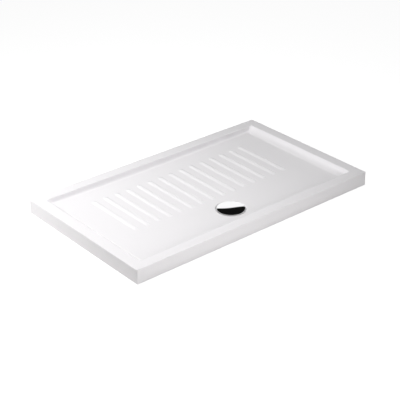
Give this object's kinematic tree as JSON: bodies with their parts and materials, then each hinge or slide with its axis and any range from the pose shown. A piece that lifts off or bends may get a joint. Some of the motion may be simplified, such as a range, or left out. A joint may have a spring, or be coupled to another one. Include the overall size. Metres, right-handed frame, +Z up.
{
  "type": "shower tray",
  "caption": "Low rectangular white fireclay shower tray with anti-slip ribs, a floor that falls to a round drain near the front, a domed chrome cover and a lift-out trap.",
  "frame": {"origin": "centre of the tray's underside, on the plane that it is bedded on", "axes": "+X along the long side, +Y towards the back (the drain is near the front), +Z up"},
  "size_m": [1.2, 0.7, 0.113],
  "materials": {
    "glazed_fireclay": "white gloss glaze over fireclay, raw underneath",
    "chromed_cover": "polished chrome",
    "carrier_plastic": "moulded, fine grain",
    "strainer_plastic": "moulded, satin",
    "insert_plastic": "moulded, satin",
    "seal_rubber": "moulded, matt",
    "flange_steel": "pressed stainless steel, satin",
    "screw_steel": "plain stainless steel",
    "insert_brass": "turned brass",
    "trap_polypropylene": "moulded polypropylene",
    "nut_plastic": "moulded polypropylene",
    "washer_plastic": "smooth acetal"
  },
  "bodies": {
    "tray": {"tray_body": "glazed_fireclay", "waste_flange": "flange_steel", "flange_screws": "screw_steel", "screw_inserts": "insert_brass", "flange_gasket": "seal_rubber", "body_gasket": "seal_rubber", "trap_body": "trap_polypropylene", "trap_outlet": "trap_polypropylene", "pipe_nut": "nut_plastic", "pipe_cone_seal": "seal_rubber", "pipe_slip_washer": "washer_plastic"},
    "insert": {"dip_tube": "insert_plastic", "insert_o_ring": "seal_rubber", "trap_cup": "insert_plastic"},
    "strainer": {"hair_strainer": "strainer_plastic"},
    "cover": {"waste_cover": "chromed_cover", "cover_carrier": "carrier_plastic"}
  },
  "joints": [
    {"name": "insert_lift", "type": "slide", "parent": "tray", "child": "insert", "axis": [0, 0, 1], "range_m": [0, 0.12]},
    {"name": "strainer_lift", "type": "slide", "parent": "insert", "child": "strainer", "axis": [0, 0, 1], "range_m": [0, 0.08]},
    {"name": "cover_lift", "type": "slide", "parent": "strainer", "child": "cover", "axis": [0, 0, 1], "range_m": [0, 0.12]}
  ]
}
